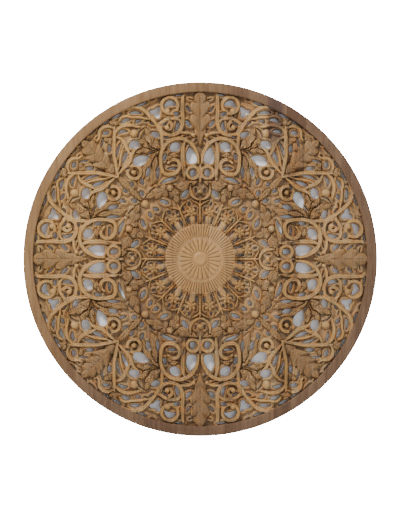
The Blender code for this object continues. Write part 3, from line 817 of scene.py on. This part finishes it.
height = calc("ADD", calc("MULTIPLY", on_face, calc("SUBTRACT", top, given("Foot"))), given("Foot"))
flower = set_disc(flower_tree, grid, angle, calc("MULTIPLY", calc("MULTIPLY", share, off_hub), rim), height)
out = put(flower_tree, "GeometryNodeTransform", {
    "Geometry": flower, "Translation": put(flower_tree, "ShaderNodeCombineXYZ", {"Z": given("Orbit")})})
finish_tree(flower_tree, set_round(flower_tree, out, "Flowers", 0.5), teak)
flowers = grow("ring_of_flowers", flower_tree, Radius=FLOWER_RADIUS * MM, Orbit=FLOWER_ORBIT * MM)
print("flowers:", len(flowers.polygons), "faces")

# %% [markdown]
# ## One piece of wood
# Band, dome and flowers overlap the carved field a little. A union takes away what lies inside and leaves
# one closed skin, as the real panel is one piece of wood. Loose overlapping parts would look the same from
# the front, but the exported mesh would have walls inside it.

# %% Union
SMOOTH_BELOW = math.radians(38)

panel = new_object("carved_panel_wood", field)
tools = [new_object(name, data) for name, data in (("band", band), ("dome", dome), ("flowers", flowers))]
for tool in tools:
    join = panel.modifiers.new(tool.name, "BOOLEAN")
    join.operation, join.solver, join.object = "UNION", "MANIFOLD", tool
panel_data = plain_mesh(panel)
for tool in tools:
    bpy.data.objects.remove(tool)
panel_data.materials.clear()
panel_data.materials.append(teak)
panel_data.polygons.foreach_set("material_index", [0] * len(panel_data.polygons))
panel_data.polygons.foreach_set("use_smooth", [True] * len(panel_data.polygons))
panel_data.set_sharp_from_angle(angle=SMOOTH_BELOW)
panel = new_object("carved_panel_wood", panel_data)
print("panel:", sum(len(p.vertices) - 2 for p in panel_data.polygons), "triangles")

# %% [markdown]
# ## How deep each place lies
# The material paints shade into the hollows of the carving and a highlight onto its crests. So each point of
# the skin gets a number that says how far it lies below the wood around it. The heights are laid on a square
# grid, blurred, and compared with the point's own height. Cycles' Pointiness would need no numbers of our
# own, but it sees only the nearest points.

# %% Heights on a grid, blurred
BLUR_REACH = 7.0                           # millimetres
GRID_STEP = 1.5
OPEN_LEVEL, DOME_LEVEL = 6.0, 21.0         # what openings and the dome count as
FRONT_FROM = 5.0                           # the carved face lies farther from the wall than this
BACK_HOLLOW = 2.5                          # the flat back counts as a shallow hollow and gets its painted shade


def blurred_heights():
    """Heights of one eighth, unfolded to a quarter on a grid, and blurred with a Gaussian both ways."""
    line = np.arange(-6 * BLUR_REACH, DRAWING_RADIUS + GRID_STEP, GRID_STEP)
    x, z = np.meshgrid(np.abs(line), np.abs(line))
    folded = np.stack([np.minimum(x, z).ravel(), np.maximum(x, z).ravel()], 1)
    height, _, _ = field_height(folded)
    radius = np.linalg.norm(folded, axis=1)
    height[in_any_opening(folded)] = OPEN_LEVEL
    height[radius > FIELD_RADIUS] = RIM_THICKNESS
    height[radius > DRAWING_RADIUS] = OPEN_LEVEL
    height[radius < DOME_RADIUS] = DOME_LEVEL
    height = height.reshape(x.shape)
    reach = np.arange(-3 * BLUR_REACH, 3 * BLUR_REACH + 1e-6, GRID_STEP)
    weights = np.exp(-0.5 * (reach / BLUR_REACH) ** 2)
    weights /= weights.sum()
    for axis in (0, 1):
        height = np.apply_along_axis(lambda row: np.convolve(row, weights, "same"), axis, height)
    return line, height


def look_up(line, table, folded):
    """Bilinear reading of the blurred table."""
    spot = (folded - line[0]) / GRID_STEP
    cell = np.clip(spot.astype(int), 0, len(line) - 2)
    fx, fz = (spot - cell).T
    i, j = cell.T
    return (table[j, i] * (1 - fx) * (1 - fz) + table[j, i + 1] * fx * (1 - fz)
            + table[j + 1, i] * (1 - fx) * fz + table[j + 1, i + 1] * fx * fz)


# %% Hollows and leaf veins as attributes
skin = mesh_points(panel_data) / MM
folded = np.stack([np.abs(skin[:, [0, 2]]).min(1), np.abs(skin[:, [0, 2]]).max(1)], 1)
hollow = look_up(*blurred_heights(), folded) + skin[:, 1]
_, veins, leafy = field_height(folded)
radius = np.linalg.norm(folded, axis=1)
in_field = (radius < FIELD_RADIUS) & (radius > DOME_RADIUS)
on_front = skin[:, 1] < -FRONT_FROM
for name, values in (("hollow", np.where(on_front, hollow, BACK_HOLLOW)), ("veins", veins),
                     ("leafy", leafy * in_field * on_front)):
    panel_data.attributes.new(name, "FLOAT", "POINT").data.foreach_set("value", values.astype(np.float32))
print("hollow from", hollow.min().round(1), "to", hollow.max().round(1))

# %% [markdown]
# ## The wood
# Teak under wax: golden brown, with upright grain, since all the boards stand upright. The blank was glued
# from boards, so the tone changes a little at each joint. Three joints show clearly in the photograph, two
# on the lower band and one on the upper, and the boards widen upwards to meet them. The other widths are a
# guess. The boards, the grain and the pores could be nodes of the material itself. As a group they have a
# name and a few inputs, and the material below reads as a list of layers.

# %% Helpers for materials
def shader_group(name, inputs, outputs):
    group = bpy.data.node_groups.new(name, "ShaderNodeTree")
    for title, kind, value in inputs:
        socket = group.interface.new_socket(title, in_out="INPUT", socket_type=kind)
        if value is not None:
            socket.default_value = value
    for title, kind in outputs:
        group.interface.new_socket(title, in_out="OUTPUT", socket_type=kind)
    group.nodes.new("NodeGroupInput")
    group.nodes.new("NodeGroupOutput")
    return group


def mix(tree, share, first, second, blend="MIX"):
    """Mixes two colours. The sockets are chosen by number, as a Mix node has one set for each kind."""
    node = tree.nodes.new("ShaderNodeMix")
    node.data_type, node.blend_type = "RGBA", blend
    for number, value in ((0, share), (6, first), (7, second)):
        if isinstance(value, bpy.types.NodeSocket):
            tree.links.new(value, node.inputs[number])
        else:
            node.inputs[number].default_value = value
    return node.outputs[2]


def srgb(red, green, blue):
    """A colour as it is picked on a screen, turned into the linear values that a shader wants."""
    return tuple(((v / 255 + 0.055) / 1.055) ** 2.4 for v in (red, green, blue)) + (1,)


def distance_out(tree, spot):
    """Distance from the panel's axis, from the separated object coordinates."""
    flat = put(tree, "ShaderNodeCombineXYZ", {"X": spot.outputs["X"], "Z": spot.outputs["Z"]})
    return put(tree, "ShaderNodeVectorMath", {0: flat}, operation="LENGTH").outputs["Value"]


# %% Boards as the start of a node group
BOARD_WIDTH, BOARD_TAPER, FIRST_JOINT = 0.0456, 0.0108, 0.022   # 41 mm wide below, 50 mm above
JOINT_REACH = 0.488                        # board widths from a board's middle to where its joint begins
GRAIN_LIGHT, GRAIN_DARK, PORE = srgb(178, 147, 106), srgb(94, 74, 55), srgb(70, 42, 24)

grain = shader_group("upright_teak_grain",
                     [("Vector", "NodeSocketVector", None), ("Light", "NodeSocketColor", GRAIN_LIGHT),
                      ("Dark", "NodeSocketColor", GRAIN_DARK), ("Contrast", "NodeSocketFloat", 1.25)],
                     [("Color", "NodeSocketColor"), ("Height", "NodeSocketFloat"),
                      ("Joint", "NodeSocketFloat")])
calc, given, _ = tools_for(grain)
spot = put(grain, "ShaderNodeSeparateXYZ", {0: given("Vector")})
width_here = calc("ADD", calc("MULTIPLY", spot.outputs["Z"], BOARD_TAPER), BOARD_WIDTH)
board_place = calc("DIVIDE", calc("SUBTRACT", spot.outputs["X"], FIRST_JOINT), width_here)
board = calc("FLOOR", board_place)
board_tone = put(grain, "ShaderNodeTexWhiteNoise", {"W": board}, noise_dimensions="1D").outputs["Value"]
in_board = calc("LESS_THAN", calc("ABSOLUTE", calc("SUBTRACT", calc("FRACT", board_place), 0.5)), JOINT_REACH)
shift = put(grain, "ShaderNodeCombineXYZ", {"X": board, "Y": calc("MULTIPLY", board, 1.7)})
shifted = put(grain, "ShaderNodeVectorMath", {0: given("Vector"), 1: shift}, operation="ADD")
print("boards from", FIRST_JOINT, "m,", BOARD_WIDTH, "m wide half way up")


# %% Grain and pores in them
def stretched_noise(scale, size, detail, rough=0.6):
    """Noise drawn out along the board, so that it runs like grain."""
    stretched = put(grain, "ShaderNodeVectorMath", {0: shifted, 1: scale}, operation="MULTIPLY")
    return put(grain, "ShaderNodeTexNoise", {"Vector": stretched, "Scale": size, "Detail": detail,
                                             "Roughness": rough}).outputs[0]


TONE_PARTS = {"figure": 1.3, "streaks": 1.5, "boards": 0.65, "blotches": 1.0}
TONE_MIDDLE = 2.22

figure = stretched_noise((1, 1, 0.16), 26, 3)
streaks = stretched_noise((1, 1, 0.05), 150, 4)
pores = put(grain, "ShaderNodeMapRange", {"Value": stretched_noise((1, 1, 0.06), 520, 2), "From Min": 0.60,
                                          "From Max": 0.70}).outputs[0]
blotch = put(grain, "ShaderNodeTexNoise", {"Vector": given("Vector"), "Scale": 9.0, "Detail": 3.0})
tone = calc("ADD", calc("MULTIPLY", figure, TONE_PARTS["figure"]),
            calc("MULTIPLY", streaks, TONE_PARTS["streaks"]))
tone = calc("ADD", tone, calc("MULTIPLY", board_tone, TONE_PARTS["boards"]))
tone = calc("ADD", tone, calc("MULTIPLY", blotch.outputs[0], TONE_PARTS["blotches"]))
tone = calc("MULTIPLY_ADD", calc("SUBTRACT", tone, TONE_MIDDLE), given("Contrast"), 0.5)
body = mix(grain, put(grain, "ShaderNodeClamp", {0: tone}).outputs[0], given("Dark"), given("Light"))
body = mix(grain, calc("MULTIPLY", pores, 0.35), body, PORE)
for name, value in (("Color", body), ("Height", calc("SUBTRACT", streaks, calc("MULTIPLY", pores, 0.6))),
                    ("Joint", calc("SUBTRACT", 1, in_board))):
    grain.links.new(value, grain.nodes["Group Output"].inputs[name])
print("grain:", len(grain.nodes), "nodes")

# %% [markdown]
# The face gets painted shade in the hollows and a painted highlight on the crests. The left side, and a
# little the top, is paler, and the band is light on the left and dark on the right: partly uneven stain,
# partly painted light from the upper left. A dark streak of heartwood crosses the upper right. Leaf veins are
# cut with a small gouge, so they sink, and painted shade darkens their grooves. A painted image could show
# all this, but it would need an unwrapped mesh and a file. Masks from the place and from the stored numbers
# need neither.

# %% Masks on the face
# Millimetres below the blurred surface over which painted shade deepens in the hollows
HOLLOW_SHADE_DEPTHS = (0.0, 6.5)                   # millimetres below the blurred surface
# Millimetres above the blurred surface over which a painted highlight grows on the crests
CREST_HIGHLIGHT_HEIGHTS = (-1.0, -5.0)
STREAK_X, STREAK_Z = (0.170, 0.216), (0.24, 0.32)
LEFT_PULL, UP_PULL = -0.8, 0.45            # the side with painted light and paler stain is the left, and a little the top
SHINE = 0.25                               # less than Blender's usual 0.5, for a dull wax

teak.use_nodes = True
tree = teak.node_tree
calc, _, fade = tools_for(tree)
shader = tree.nodes["Principled BSDF"]
shader.inputs["Specular IOR Level"].default_value = SHINE
place = put(tree, "ShaderNodeTexCoord").outputs["Object"]
spot = put(tree, "ShaderNodeSeparateXYZ", {0: place})
across, up = spot.outputs["X"], spot.outputs["Z"]
wood = put(tree, "ShaderNodeGroup", {"Vector": place}, node_tree=grain)
hollow_value, veins_value, leafy_value = (
    put(tree, "ShaderNodeAttribute", attribute_name=name).outputs["Fac"]
    for name in ("hollow", "veins", "leafy"))
reach = distance_out(tree, spot)
in_front = fade(spot.outputs["Y"], -FRONT_FROM * MM, -1 * MM, 1, 0)
on_band = calc("MULTIPLY", in_front, fade(reach, (FIELD_RADIUS - 1) * MM, (FIELD_RADIUS + 0.5) * MM))
on_dome = calc("MULTIPLY", in_front, fade(reach, (DOME_RADIUS - 1) * MM, (DOME_RADIUS + 0.5) * MM, 1, 0))
leftness = calc("ADD", calc("MULTIPLY", across, LEFT_PULL / PANEL_RADIUS),
                calc("MULTIPLY", up, UP_PULL / PANEL_RADIUS))
# Paler on the left and top, darker on the right: partly uneven stain, partly painted light and shade
painted_light_and_pale_stain = fade(leftness, 0.1, 0.85)
painted_shade_and_dark_stain = fade(leftness, 0.55, 0.1)
# Painted shade, by how far a point lies below the wood around it
painted_hollow_shade = fade(hollow_value, *HOLLOW_SHADE_DEPTHS, 0, 0.75)
# Painted highlight on the crests, left off the band
crest = calc("MULTIPLY", fade(hollow_value, *CREST_HIGHLIGHT_HEIGHTS, 0, 0.45), calc("SUBTRACT", 1, on_band))
streak = calc("MULTIPLY", fade(across, STREAK_X[0], STREAK_X[0] + 0.006),
              fade(across, STREAK_X[1] - 0.012, STREAK_X[1], 1, 0))
streak = calc("MULTIPLY", streak, fade(up, *STREAK_Z, 0, 0.7))

# %% Warm patches, worn patches, and the creases and veins that get painted shade
warmth = put(tree, "ShaderNodeTexNoise", {"Vector": place, "Scale": 48.0, "Detail": 4.0, "Roughness": 0.75})
warm = calc("MULTIPLY", fade(warmth.outputs[0], 0.42, 0.64, 0, 0.7), calc("MULTIPLY_ADD", on_band, -0.8, 1))
worn = put(tree, "ShaderNodeTexNoise", {"Vector": place, "Scale": 13.0, "Detail": 2.0}).outputs[0]
turn_about = calc("ARCTAN2", across, up)
share_out = calc("DIVIDE", reach, DOME_RADIUS * MM)


def crease(count, start, end, sharpness):
    """A mask of the creases between the petals or flutes of the dome, from start to end of its radius."""
    line = calc("POWER", calc("SUBTRACT", 1, ridges(calc, turn_about, count)), sharpness)
    line = calc("MULTIPLY", line, fade(share_out, start, start + 0.03))
    return calc("MULTIPLY", line, fade(share_out, end - 0.03, end, 1, 0))


# Where painted shade darkens the creases between the dome's petals and flutes
lines = calc("MULTIPLY", in_front, calc("MAXIMUM", crease(DOME_PETALS, 0.2, 0.58, 3),
                                        crease(DOME_FLUTES, 0.64, 0.97, 1.6)))
# Leaf veins and gouge cuts, sunk by the bump below and darkened with painted shade
vein_cut_and_shade = calc("POWER", calc("ABSOLUTE", calc("COSINE", calc("MULTIPLY", veins_value, math.pi))), 4)
vein_cut_and_shade = calc("MULTIPLY", vein_cut_and_shade, leafy_value)

# %% The waxed face, layer by layer
BAND_STAIN_AND_SHADE = (0.48, 0.47, 0.55, 1)         # how much of the light the band still returns where stain and painted shade darken it most
LAYERS = [
    (warm, srgb(172, 116, 62)),
    (calc("MULTIPLY", on_dome, 0.5), srgb(194, 146, 90)),
    # paler on the left: partly paler stain, partly painted light
    (calc("MULTIPLY", painted_light_and_pale_stain, 0.25), srgb(212, 166, 92)),
    (calc("MULTIPLY", on_band, 0.5), srgb(154, 112, 74)),
    # band darker on the right: partly stain, partly painted shade
    (calc("MULTIPLY", on_band, calc("MULTIPLY_ADD", painted_shade_and_dark_stain, 0.58, 0.42)), BAND_STAIN_AND_SHADE, "MULTIPLY"),
    # painted shade in the hollows
    (painted_hollow_shade, srgb(82, 66, 54)),
    # painted highlight on the crests
    (crest, srgb(202, 154, 86)),
    (calc("MULTIPLY", leafy_value, 0.3), srgb(182, 138, 94)),
    (streak, srgb(76, 56, 52)),
    (calc("MULTIPLY", calc("MULTIPLY", on_dome, 0.6), fade(worn, 0.45, 0.62)), srgb(172, 128, 82)),
    # painted shade in the dome's creases, weaker where worn
    (calc("MULTIPLY", lines, calc("MULTIPLY_ADD", worn, -1.0, 1.2)), srgb(84, 56, 34)),
    # painted shade in the veins
    (calc("MULTIPLY", vein_cut_and_shade, 0.75), srgb(84, 54, 32)),
    (calc("MULTIPLY", wood.outputs["Joint"], 0.5), srgb(84, 52, 32)),
]
colour = wood.outputs["Color"]
for share, shade, *blend in LAYERS:
    colour = mix(tree, share, colour, shade, *blend)
tree.links.new(colour, shader.inputs["Base Color"])
print(len(LAYERS), "layers of colour")

# %% Its sheen and its fine relief
VEIN_DEPTH, GRAIN_DEPTH = 0.0016, 0.0006   # metres

rough = calc("MULTIPLY_ADD", wood.outputs["Height"], 0.25, 0.36)
tree.links.new(calc("ADD", rough, calc("MULTIPLY", painted_hollow_shade, 0.2)), shader.inputs["Roughness"])
cut_bump = put(tree, "ShaderNodeBump", {"Height": calc("MULTIPLY", vein_cut_and_shade, -1), "Distance": VEIN_DEPTH})
fine_bump = put(tree, "ShaderNodeBump", {"Height": wood.outputs["Height"], "Distance": GRAIN_DEPTH,
                                         "Normal": cut_bump})
tree.links.new(fine_bump.outputs[0], shader.inputs["Normal"])
print("finish:", len(tree.nodes), "nodes")

# %% [markdown]
# ## The wall and the light
# The panel hangs on a pale wall, which shows through its openings, over a pale floor that is out of sight in
# the photograph. The photograph's ground is pure white, so outside the panel's edge the wall glows, for the
# camera alone. It can't be seen from behind, and it lets the shortest rays through, so that the back of the
# panel gets light. A lamp stands high on the left, a broader and weaker one on the right, and the air adds a
# little from all round.

# %% Wall and floor
WALL_HALF, FLOOR_DROP, WALL_GAP = 3.0, 1.4, 0.001
GLOW_FROM, GLOW = 0.99, 40                 # share of the panel's radius, and brightness
SHORTEST = WALL_GAP * 8                    # rays shorter than this come from the panel's own back


def painted(name, colour, roughness):
    """A painted studio material, and its shader."""
    material = bpy.data.materials.new(name)
    material.use_nodes = True
    coat = material.node_tree.nodes["Principled BSDF"]
    coat.inputs["Base Color"].default_value = colour
    coat.inputs["Roughness"].default_value = roughness
    return material, coat


def studio_square(name, corners, material):
    square = new_object(name, new_mesh(name, corners, [(0, 1, 2, 3)]))
    square.data.materials.append(material)
    return square


wall_paint, coat = painted("wall_paint", (0.88, 0.90, 0.94, 1), 0.9)
tree = wall_paint.node_tree
calc, _, _ = tools_for(tree)
spot = put(tree, "ShaderNodeSeparateXYZ", {0: put(tree, "ShaderNodeTexCoord").outputs["Object"]})
path = put(tree, "ShaderNodeLightPath")
outside = calc("GREATER_THAN", distance_out(tree, spot), PANEL_RADIUS * GLOW_FROM)
glow = calc("MULTIPLY", outside, path.outputs["Is Camera Ray"])
tree.links.new(calc("MULTIPLY", glow, GLOW), coat.inputs["Emission Color"])
coat.inputs["Emission Strength"].default_value = 1
from_panel = calc("MULTIPLY", calc("LESS_THAN", path.outputs["Ray Length"], SHORTEST),
                  calc("SUBTRACT", 1, path.outputs["Is Camera Ray"]))
unseen = calc("MAXIMUM", put(tree, "ShaderNodeNewGeometry").outputs["Backfacing"], from_panel)
tree.links.new(calc("SUBTRACT", 1, unseen), coat.inputs["Alpha"])
wall = studio_square("studio_wall", [(-WALL_HALF, WALL_GAP, -FLOOR_DROP), (WALL_HALF, WALL_GAP, -FLOOR_DROP),
                                     (WALL_HALF, WALL_GAP, WALL_HALF), (-WALL_HALF, WALL_GAP, WALL_HALF)],
                     wall_paint)
floor_paint, _ = painted("floor_paint", (0.8, 0.8, 0.78, 1), 0.8)
floor = studio_square("studio_floor", [(x, y, -FLOOR_DROP) for x, y in (
    (-WALL_HALF, -WALL_HALF), (WALL_HALF, -WALL_HALF), (WALL_HALF, WALL_HALF), (-WALL_HALF, WALL_HALF))],
                      floor_paint)


# %% Lights
def soft_light(name, place, size, power, colour):
    lamp = bpy.data.lights.new(name, "AREA")
    lamp.shape, lamp.size, lamp.energy, lamp.color = "DISK", size, power, colour
    light = new_object(name, lamp)
    light.location = place
    light.rotation_euler = (-Vector(place)).to_track_quat("-Z", "Y").to_euler()


soft_light("key_light", (-1.3, -1.8, 2.4), 0.7, 125, (1.0, 0.98, 0.94))
soft_light("fill_light", (1.8, -2.6, 0.2), 2.0, 25, (0.92, 0.96, 1.0))
world = bpy.data.worlds.new("studio_air")
bpy.context.scene.world = world
world.use_nodes = True
world.node_tree.nodes["Background"].inputs["Color"].default_value = (0.9, 0.95, 1.0, 1)
world.node_tree.nodes["Background"].inputs["Strength"].default_value = 0.5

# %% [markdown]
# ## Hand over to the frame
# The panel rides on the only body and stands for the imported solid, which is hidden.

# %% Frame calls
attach(panel, "root")
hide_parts(PANEL_NODE)
